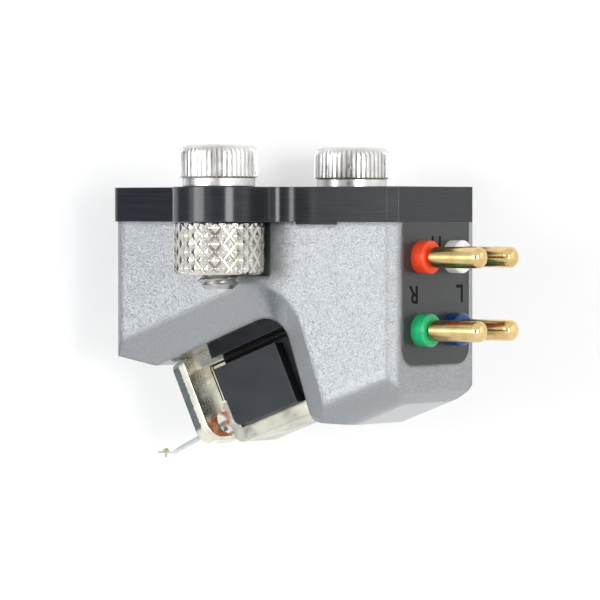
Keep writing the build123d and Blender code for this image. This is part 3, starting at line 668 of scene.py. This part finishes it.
# %% Screws
SCREW_SPACING = 12.7
THREAD_PITCH = 0.45
THREAD_DEPTH = 0.27
SCREW_RADIUS = 1.25
SCREW_LENGTH = 6.1
TIP_CHAMFER = 0.4
HEAD_TOP = 2.5
HEAD_RADIUS = 2.35
CROWN_FLAT = 1.8
CROWN_FALL = 0.52
TEETH = 48
TOOTH_DEPTH = 0.15
TOOTH_GROOVE = 0.24
COLLAR_RADIUS = 2.17
SOCKET_APOTHEM = 1.0
HEAD_SEAT = 0.004
COLUMNS_PER_TOOTH = 8
ROWS_PER_PITCH = 9
THREAD_FLANK, THREAD_CREST = 2.4, 0.1
THREAD_RUNOUT = 0.35
# Profiles are pairs of radius and height. In the socket, the radius is a share of the hexagon's.
SOCKET_PROFILE = ((0.45, 1.12), (0.98, 1.2), (1, 1.2), (1, 1.25), (1, 2), (1.02, 2.42))
MOUTH_PROFILE = ((1.22, 2.485), (1.26, HEAD_TOP))
KNURL_PROFILE = ((HEAD_RADIUS, 1.2), (HEAD_RADIUS, 0.62), (2.26, 0.56))
COLLAR_PROFILE = ((2.12, 0.53), (COLLAR_RADIUS, 0.49), (COLLAR_RADIUS, 0.06), (2.12, HEAD_SEAT))
SEAT_PROFILE = ((1.6, HEAD_SEAT), (1.26, HEAD_SEAT))
SCREW_SIDES = {"left": -SCREW_SPACING / 2, "right": SCREW_SPACING / 2}


def sawtooth(turns):
    """The distance to the nearest whole turn, from 0 to a half."""
    return np.abs(turns - np.round(turns))


def screw_head(angle):
    """Radius and height of the rows of the head.

    The socket's radius is its apothem over the cosine of the angle from the middle of the nearest flat.
    The crown is a quarter ellipse. A tooth's groove fades with the distance from its middle line.
    """
    hexagon = SOCKET_APOTHEM / np.cos(angle % (pi / 3) - pi / 6)
    groove = np.clip(1 - sawtooth(TEETH * angle / (2 * pi)) / TOOTH_GROOVE, 0, 1)
    toothed = HEAD_RADIUS - TOOTH_DEPTH * groove
    bend = column(np.linspace(0, pi / 2, 12))
    crown = CROWN_FLAT + (HEAD_RADIUS - CROWN_FLAT) * np.sin(bend)
    fall = HEAD_TOP - CROWN_FALL * (1 - np.cos(bend))
    share, socket_height = profile(SOCKET_PROFILE)
    blank, knurl_height = profile(KNURL_PROFILE)
    return [
        (share * hexagon, socket_height),
        profile(MOUTH_PROFILE),
        (np.minimum(crown, toothed), fall),
        (np.minimum(blank, toothed), knurl_height),
        profile(COLLAR_PROFILE),
    ]


def screw_shank(angle):
    """Radius and height of the rows of the shank.

    The groove is THREAD_FLANK x climb - THREAD_CREST, between 0 and 1. Its climb is a sawtooth of
    height / pitch - angle / full turn.
    """
    height = column(np.arange(-0.05, -SCREW_LENGTH, -THREAD_PITCH / ROWS_PER_PITCH))
    climb = sawtooth(height / THREAD_PITCH - angle / (2 * pi))
    groove = np.clip(THREAD_FLANK * climb - THREAD_CREST, 0, 1)
    runout = np.clip(-height / THREAD_RUNOUT, 0, 1)
    thread = SCREW_RADIUS - THREAD_DEPTH * groove * runout
    tip_radius = SCREW_RADIUS - TIP_CHAMFER
    return [
        profile(SEAT_PROFILE),
        (np.minimum(thread, tip_radius + SCREW_LENGTH + height), height),
        profile(((tip_radius, -SCREW_LENGTH), (0.5, -SCREW_LENGTH))),
    ]


def screw_rows(side_y):
    """Head and shank turned round the screw's axis, with one row for each height."""
    angle = circle(COLUMNS_PER_TOOTH * TEETH)[None, :]
    return turned(angle, screw_head(angle) + screw_shank(angle), side_y)


for side, side_y in SCREW_SIDES.items():
    grid_piece(
        f"knurled_screw_{side}", screw_rows(side_y), screw_nickel,
        f"screw_{side}", [f"cap_screw_{side}"],
    )

# %% [markdown]
# ### The diamond-knurled nuts
# Two rollers press slanting grooves into a nut, one set leaning each way, and what stays between them are
# low pyramids with diamond feet. A point's distance to the nearest groove of each set is a sawtooth of angle
# plus or minus height, and the nearer groove sets how deep the surface lies. The rows run round the nut's
# section and back through its bore, so the grid closes on itself like a ring. Relief in the finish could
# show the diamonds too, but the outline of the nut would stay smooth.

# %% Nuts
NUT_RADIUS = 2.75
NUT_TOP = -2.14
NUT_FOOT = -5.24
NUT_FOOT_RADIUS = 2.45
NUT_BORE = 1.3
NUT_EDGE = 0.12
DIAMONDS_ROUND = 20
DIAMOND_HEIGHT = 0.97
GROOVE_DEPTH = 0.2
GROOVE_WIDTH = 0.16
DIAMOND_DOME = 0.5
FOOT_SLOPE, RIM_SLOPE = 1.2, 1.5
COLUMNS_PER_DIAMOND = 24
NUT_TOP_PROFILE = (
    (NUT_BORE, NUT_TOP - NUT_EDGE),
    (NUT_BORE + NUT_EDGE, NUT_TOP),
    (2, NUT_TOP),
    (NUT_RADIUS - 0.2, NUT_TOP),
)
NUT_BASE_PROFILE = (
    (NUT_FOOT_RADIUS - 0.04, NUT_FOOT),
    (1.9, NUT_FOOT),
    (NUT_BORE + NUT_EDGE, NUT_FOOT),
    (NUT_BORE, NUT_FOOT + NUT_EDGE),
    (NUT_BORE, -3.7),
)


def nut_rows(side_y):
    """Rows round the section of the nut.

    The surface lies GROOVE_DEPTH x (1 - the lower of two plateaus) under NUT_RADIUS. A cone cuts each end.
    """
    angle = circle(COLUMNS_PER_DIAMOND * DIAMONDS_ROUND)[None, :]
    height = column(np.linspace(NUT_TOP, NUT_FOOT, 97)[1:-1])

    def plateau(lean):
        """0 on the line of a groove, steep up to GROOVE_WIDTH, then gentle to 1 in the diamond's middle."""
        distance = sawtooth(DIAMONDS_ROUND * angle / (2 * pi) + lean * height / DIAMOND_HEIGHT)
        return (1 - DIAMOND_DOME) * np.clip(distance / GROOVE_WIDTH, 0, 1) + 2 * DIAMOND_DOME * distance

    knurl = NUT_RADIUS - GROOVE_DEPTH * (1 - np.minimum(plateau(1), plateau(-1)))
    foot = NUT_FOOT_RADIUS + FOOT_SLOPE * (height - NUT_FOOT)
    rim = NUT_RADIUS - NUT_EDGE + RIM_SLOPE * (NUT_TOP - height)
    knurl = np.minimum(np.minimum(knurl, foot), rim)
    return turned(angle, [profile(NUT_TOP_PROFILE), (knurl, height), profile(NUT_BASE_PROFILE)], side_y)


for side, side_y in SCREW_SIDES.items():
    grid_piece(
        f"diamond_nut_{side}", nut_rows(side_y), nut_nickel,
        f"nut_{side}", [f"knurled_nut_{side}"], ring=True, sharp=50,
    )

# %% [markdown]
# ### The output pins
# The four pins are turned from brass and gold-plated, with a blunt round nose so that a lead's clip slides
# on. The profile is a superellipse at the nose and a straight run, carried round the pin's axis. A plain
# ellipse would be simpler, but it makes the nose too pointed.

# %% Pins
PIN_PLACES = {
    "right_signal": (-1.53, -4.15),
    "right_return": (-1.53, -8.45),
    "left_signal": (1.53, -4.15),
    "left_return": (1.53, -8.45),
}
PIN_RADIUS = 0.625
PIN_TIP = 16.15
PIN_NOSE = 0.5
PIN_SHOULDER = 12.45
PIN_STEM_RADIUS = 0.45
PIN_TAIL = 9.15
PIN_EDGE = 0.05
NOSE_LENGTH_POWER, NOSE_RADIUS_POWER = 0.8, 0.85
PIN_PROFILE = (
    (PIN_RADIUS, 14.5),
    (PIN_RADIUS, 13.5),
    (PIN_RADIUS, PIN_SHOULDER + PIN_EDGE),
    (PIN_RADIUS - PIN_EDGE, PIN_SHOULDER),
    (PIN_STEM_RADIUS, PIN_SHOULDER),
    (PIN_STEM_RADIUS, PIN_TAIL),
)


def pin_rows(y, z):
    """Rows along a pin, from its nose to the end of its stem.

    Over a quarter turn the nose is PIN_NOSE x a power of the cosine long, and PIN_RADIUS x a power of the
    sine thick.
    """
    bend = column(np.linspace(0.06, 1, 14) * pi / 2)
    nose = PIN_TIP - PIN_NOSE + PIN_NOSE * np.cos(bend) ** NOSE_LENGTH_POWER
    nose_radius = PIN_RADIUS * np.sin(bend) ** NOSE_RADIUS_POWER
    run_radius, run = profile(PIN_PROFILE)
    along = np.concatenate([nose, run])
    radius = np.concatenate([nose_radius, run_radius])
    angle = circle(56)[None, :]
    return np.stack([along + 0 * angle, y + radius * np.cos(angle), z + radius * np.sin(angle)], axis=-1)


for wire, (y, z) in PIN_PLACES.items():
    grid_piece(f"gold_pin_{wire}", pin_rows(y, z), pin_gold, "housing", [f"pin_{wire}"])

# %% [markdown]
# ### The cantilever
# The cantilever is a drawn tube that is pressed flat at its end, where the diamond sits. Its centre line
# runs straight from the coil former, then bends level. The section is a superellipse whose two half widths
# and whose power change along the line: round at first, a flat bar at the end. A curve with a bevel could
# carry one section along the line, but not one that changes its shape.

# %% Cantilever
PIVOT = np.array([-3.859789, 0, -14.055591])
CANTILEVER_TILT = radians(25)
AXIS = np.array([-cos(CANTILEVER_TILT), 0, -sin(CANTILEVER_TILT)])
ROD_RADIUS = 0.16
ROD_START = 0.2
PADDLE_HALF_WIDTH = 0.21
PADDLE_HALF_HEIGHT = 0.065
PADDLE_LEVEL = -16.57
PADDLE_POWER = 0.55
BEND_FROM, BEND_TO, PADDLE_END = -8.8, -9.45, -10.4
# The paddle's rounded end: distances from the end, and shares of the full width there
END_START = 0.12
END_DISTANCE = np.array([0.07, 0.03, 0.01, 0])
END_SHARE = [0.93, 0.8, 0.62, 0.4]


def cantilever_rows():
    """Rows along the centre line, which is straight and then bends level.

    Along the bend, the share s of its length mixes the two lines by 3 x s squared - 2 x s cubed. A section is
    width x cosine and thickness x sine, each to a power that falls from 1 on the rod to PADDLE_POWER.
    """
    rod = np.linspace(ROD_START, (PIVOT[0] - BEND_FROM) / -AXIS[0], 12)
    rod_line = PIVOT + rod[:, None] * AXIS
    share = np.linspace(0, 1, 14)[1:]
    slope = AXIS[2] / AXIS[0]
    run = BEND_TO - BEND_FROM
    start = rod_line[-1, 2]
    settle = share * share * (3 - 2 * share)
    height = (1 - settle) * (start + slope * run * share) + settle * PADDLE_LEVEL
    bend_line = np.stack([BEND_FROM + run * share, 0 * share, height], -1)
    paddle = np.linspace(BEND_TO, PADDLE_END + END_START, 6)[1:]
    reach = np.concatenate([paddle, PADDLE_END + END_DISTANCE])
    end_line = np.stack([reach, 0 * reach, PADDLE_LEVEL + 0 * reach], -1)
    line = np.concatenate([rod_line, bend_line, end_line])
    flat = np.concatenate([0 * rod, settle, 1 + 0 * reach])
    taper = np.ones(len(line))
    taper[-len(END_SHARE):] = END_SHARE
    wide = (ROD_RADIUS + (PADDLE_HALF_WIDTH - ROD_RADIUS) * flat) * taper
    thick = ROD_RADIUS + (PADDLE_HALF_HEIGHT - ROD_RADIUS) * flat
    heading = np.gradient(line, axis=0)
    heading /= np.linalg.norm(heading, axis=1)[:, None]
    sideways = np.array([0, 1, 0])
    lift = np.cross(heading, sideways)
    angle = circle(40)[None, :, None]
    power = (1 + (PADDLE_POWER - 1) * flat)[:, None, None]
    push = lambda wave: np.sign(wave) * np.abs(wave) ** power
    breadth = wide[:, None, None] * push(np.cos(angle)) * sideways
    return line[:, None, :] + breadth + thick[:, None, None] * push(np.sin(angle)) * lift[:, None, :]


grid_piece(
    "drawn_cantilever", cantilever_rows(), drawn_aluminium,
    "stylus_assembly", ["cantilever"],
)

# %% [markdown]
# ### The front yoke
# The pole plate in front of the magnet is stamped from sheet. A punch leaves two bands on the edge it cuts:
# a burnished one at the front, as smooth as a mirror, and a torn one behind it, rough and pale. The depth
# from the front face tells the bands apart, with noise for the ragged border. The cantilever passes through
# a hole. Each row of the grid is one closed loop round that hole: the outline, moved inwards along its own
# normals where an edge is rounded, and then circles. The last row, on the front face, meets the first again.
# A hole could be cut into a box instead, but loops keep the faces even, and so the bright edges stay clean.

# %% Front yoke
LEAN = radians(27)
YOKE_DOWN = np.array([sin(LEAN), 0, -cos(LEAN)])
YOKE_BACK = np.array([cos(LEAN), 0, sin(LEAN)])
MAGNET_CORNER = np.array([-4.12, 0, -11.14])
YOKE_AHEAD, YOKE_BELOW = 3.27, 4.05
YOKE_FOOT = MAGNET_CORNER - YOKE_AHEAD * ALONG_CEILING + YOKE_BELOW * YOKE_DOWN
YOKE_HALF_WIDTH = 1.9
YOKE_LENGTH = 5.45
YOKE_THICK = 1.08
YOKE_CORNER, YOKE_TOP_CORNER = 1.0, 0.5
YOKE_ROUND, YOKE_REAR_EDGE = 0.1, 0.06
YOKE_SUPPORT = 0.03
YOKE_HOLE = 0.75
HOLE_CHAMFER, HOLE_CHAMFER_DEPTH, HOLE_SUPPORT = 0.04, 0.05, 0.1
YOKE_LOOP = 200


def rounded_outline(half_width, length, low, high, steps):
    """Points and normals of a plate's outline, evenly spaced: four corner arcs, joined by straight edges."""
    quarter = np.linspace(0, pi / 2, 12)
    angle = np.concatenate([pi + quarter, 1.5 * pi + quarter, quarter, pi / 2 + quarter])
    radius = np.repeat([low, low, high, high], 12)
    middle_y = np.repeat([-1, 1, 1, -1], 12) * (half_width - radius)
    middle_s = np.where(np.arange(48) < 24, radius, length - radius)
    normal = np.stack([np.cos(angle), np.sin(angle)], -1)
    point = np.stack([middle_y, middle_s], -1) + radius[:, None] * normal
    point, normal = (np.concatenate([part, part[:1]]) for part in (point, normal))
    travel = np.concatenate([[0], np.cumsum(np.linalg.norm(np.diff(point, axis=0), axis=1))])
    even = np.arange(steps) * travel[-1] / steps
    spaced = lambda part: np.stack([np.interp(even, travel, part[:, k]) for k in range(2)], -1)
    point, normal = spaced(point), spaced(normal)
    return point, normal / np.linalg.norm(normal, axis=1)[:, None]


def yoke_rows():
    """Loops round the hole: outline - inset x normal at each depth, then circles back through the hole."""
    point, normal = rounded_outline(YOKE_HALF_WIDTH, YOKE_LENGTH, YOKE_CORNER, YOKE_TOP_CORNER, YOKE_LOOP)
    reach = (YOKE_THICK / 2 - (PIVOT - YOKE_FOOT) @ YOKE_BACK) / (AXIS @ YOKE_BACK)
    hole = np.array([0, (PIVOT + reach * AXIS - YOKE_FOOT) @ -YOKE_DOWN])
    spoke = np.arctan2(*(point - hole).T[::-1])
    ring = np.stack([np.cos(spoke), np.sin(spoke)], -1)
    bend = np.linspace(0, pi / 2, 9)
    tight = np.linspace(0, pi / 2, 4)
    front_inset = np.concatenate([[YOKE_ROUND + YOKE_SUPPORT], YOKE_ROUND * (1 - np.sin(bend))])
    rear_inset = np.concatenate([YOKE_REAR_EDGE * (1 - np.cos(tight)), [YOKE_REAR_EDGE + YOKE_SUPPORT]])
    front_depth = np.concatenate([[0], YOKE_ROUND * (1 - np.cos(bend))])
    wall_depth = [YOKE_ROUND + YOKE_SUPPORT, YOKE_THICK - YOKE_REAR_EDGE - YOKE_SUPPORT]
    rear_depth = np.concatenate([YOKE_THICK - YOKE_REAR_EDGE * (1 - np.sin(tight)), [YOKE_THICK]])
    mouth = [HOLE_SUPPORT, HOLE_CHAMFER, 0]
    bore_radius = YOKE_HOLE + np.array(mouth + mouth[::-1])
    bore_depth = [YOKE_THICK, YOKE_THICK, YOKE_THICK - HOLE_CHAMFER_DEPTH, HOLE_CHAMFER_DEPTH, 0, 0]
    inset = np.concatenate([front_inset, [0, 0], rear_inset])
    depth = np.concatenate([front_depth, wall_depth, rear_depth, bore_depth])
    outer = [point - gap * normal for gap in inset]
    bore = [hole + radius * ring for radius in bore_radius]
    flat = np.stack(outer + bore)
    across_plate = flat[..., :1] * np.array([0, 1, 0]) - flat[..., 1:] * YOKE_DOWN
    return YOKE_FOOT + across_plate + depth[:, None, None] * YOKE_BACK


# Pairs of depth, with the ragged noise added, and roughness: burnished, torn, and then the rear face
STAMPED_BANDS = ((0, 0.2), (0.72, 0.2), (0.76, 0.5), (1.16, 0.5), (1.2, 0.24))
BAND_SPAN = 1.5
BAND_RAGGED = 0.3


def stamped_finish():
    """Roughness by depth from the front face + BAND_RAGGED x noise."""
    stamped = metal_finish("stamped_nickel", (0.62, 0.6, 0.49), (0.86, 0.84, 0.73), 0.2, 0.9, 9, 0.002)
    tree = stamped.node_tree
    ragged = tree.nodes.new("ShaderNodeMath")
    ragged.operation = "MULTIPLY_ADD"
    ragged.inputs[1].default_value = BAND_RAGGED
    tree.links.new(texture(stamped, "Noise", 7, detail=4), ragged.inputs[0])
    tree.links.new(distance_along(stamped, YOKE_BACK), ragged.inputs[2])
    front = YOKE_FOOT @ YOKE_BACK
    torn = tree.nodes.new("ShaderNodeValToRGB")
    for stop, (start, tone) in enumerate(STAMPED_BANDS):
        mark = torn.color_ramp.elements[stop] if stop < 2 else torn.color_ramp.elements.new(0.9)
        mark.position = start / BAND_SPAN
        mark.color = (tone, tone, tone, 1)
    tree.links.new(spread(stamped, ragged.outputs[0], front, front + BAND_SPAN, 0, 1), torn.inputs[0])
    tree.links.new(torn.outputs["Color"], shader_of(stamped).inputs["Roughness"])
    return stamped


grid_piece(
    "stamped_yoke", yoke_rows(), stamped_finish(), "housing", ["front_yoke"], ring=True
)

# %% [markdown]
# ### The coils
# Each arm of the white cross carries a packet of fine copper wire, two arms to a channel. A packet is a
# rounded box round the arm, and along the arm its surface swells once for every turn of wire. Turns of real
# wire would need many more faces, and from here only their ripple shows.

# %% Coils
COIL_AHEAD = 0.35
COIL_MIDDLE = PIVOT + COIL_AHEAD * AXIS
COIL_START, COIL_LENGTH = 0.4, 0.46
COIL_HALF_WIDE, COIL_HALF_THICK = 0.34, 0.28
COIL_POWER = 0.5
WIRE_TURNS = 9
WIRE_RIPPLE = 0.07


def coil_rows(arm, beside):
    """Rows along an arm: a rounded box x (1 - WIRE_RIPPLE x (1 - |sine|)), half a wave to a turn of wire."""
    share = np.linspace(0, 1, 8 * WIRE_TURNS + 1)[:, None, None]
    bead = np.abs(np.sin(pi * WIRE_TURNS * share))
    swell = 1 - WIRE_RIPPLE * (1 - bead)
    angle = circle(48)[None, :, None]
    push = lambda wave: np.sign(wave) * np.abs(wave) ** COIL_POWER
    along = COIL_START + COIL_LENGTH * share
    section = COIL_HALF_WIDE * push(np.cos(angle)) * beside + COIL_HALF_THICK * push(np.sin(angle)) * AXIS
    return COIL_MIDDLE + along * arm + swell * section


across_arm = np.array([0, 1, 0])
over_arm = np.cross(AXIS, across_arm)
for channel, lean in {"left": 1, "right": -1}.items():
    arm = (across_arm + lean * over_arm) / 2 ** 0.5
    beside = np.cross(AXIS, arm)
    for end, way in {"upper": 1, "lower": -1}.items():
        replaced = [f"windings_{channel}"] if way == 1 else []
        grid_piece(
            f"coil_{channel}_{end}", coil_rows(way * arm, beside), coil_copper,
            "stylus_assembly", replaced,
        )

# %% [markdown]
# ### The channel letters
# The terminal plate is marked R and L for the two channels, and H beside the signal pins. The letters stand
# on their heads, because a cartridge is wired with its stylus up. Text becomes a mesh first, and then its
# points are laid on the plate: the text's x runs towards -Y and its y towards -Z. An image could carry the
# letters too, but a mesh has sharp borders.

# %% Letters
LETTER_FACE = 11.49
LETTER_PROUD = 0.006
LETTER_HEIGHT = 1.05
LETTER_BOLD = 0.02
LETTER_PLACES = {"R": (-2.24, -6.36), "L": (2.24, -6.34), "H": (-0.03, -3.45)}
letter_ink = finish("letter_ink", (0.002, 0.002, 0.002), roughness=0.7, Specular_IOR_Level=0.15)
shades(letter_ink, texture(letter_ink, "Noise", 12), (0.001, 0.001, 0.001), (0.004, 0.004, 0.004))


def letter_piece(letter, y, z):
    """A letter scaled to LETTER_HEIGHT, with its x to -Y and y to -Z, LETTER_PROUD of the plate."""
    text = bpy.data.curves.new("letter", "FONT")
    text.body = letter
    text.extrude = LETTER_BOLD
    text.offset = LETTER_BOLD
    shape = bpy.data.objects.new("letter", text)
    bpy.context.scene.collection.objects.link(shape)
    bpy.context.view_layer.update()
    mesh = bpy.data.meshes.new_from_object(shape.evaluated_get(bpy.context.evaluated_depsgraph_get()))
    bpy.data.objects.remove(shape)
    flat = np.empty(3 * len(mesh.vertices), np.float32)
    mesh.vertices.foreach_get("co", flat)
    flat = flat.reshape(-1, 3)
    low, high = flat.min(axis=0), flat.max(axis=0)
    flat = (flat - (low + high) / 2) * LETTER_HEIGHT / (high[1] - low[1])
    rise = np.where(flat[:, 2] > 0, LETTER_PROUD, -LETTER_PROUD)
    laid = np.stack([LETTER_FACE + rise, y - flat[:, 0], z - flat[:, 1]], axis=-1)
    mesh.vertices.foreach_set("co", (laid * MM).astype(np.float32).ravel())
    mesh.materials.clear()
    mesh.materials.append(letter_ink)
    mesh.update()
    piece = bpy.data.objects.new(f"letter_{letter}", mesh)
    bpy.context.scene.collection.objects.link(piece)
    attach(piece, "housing")
    print(piece.name, len(mesh.polygons), "faces")


for letter, (y, z) in LETTER_PLACES.items():
    letter_piece(letter, y, z)
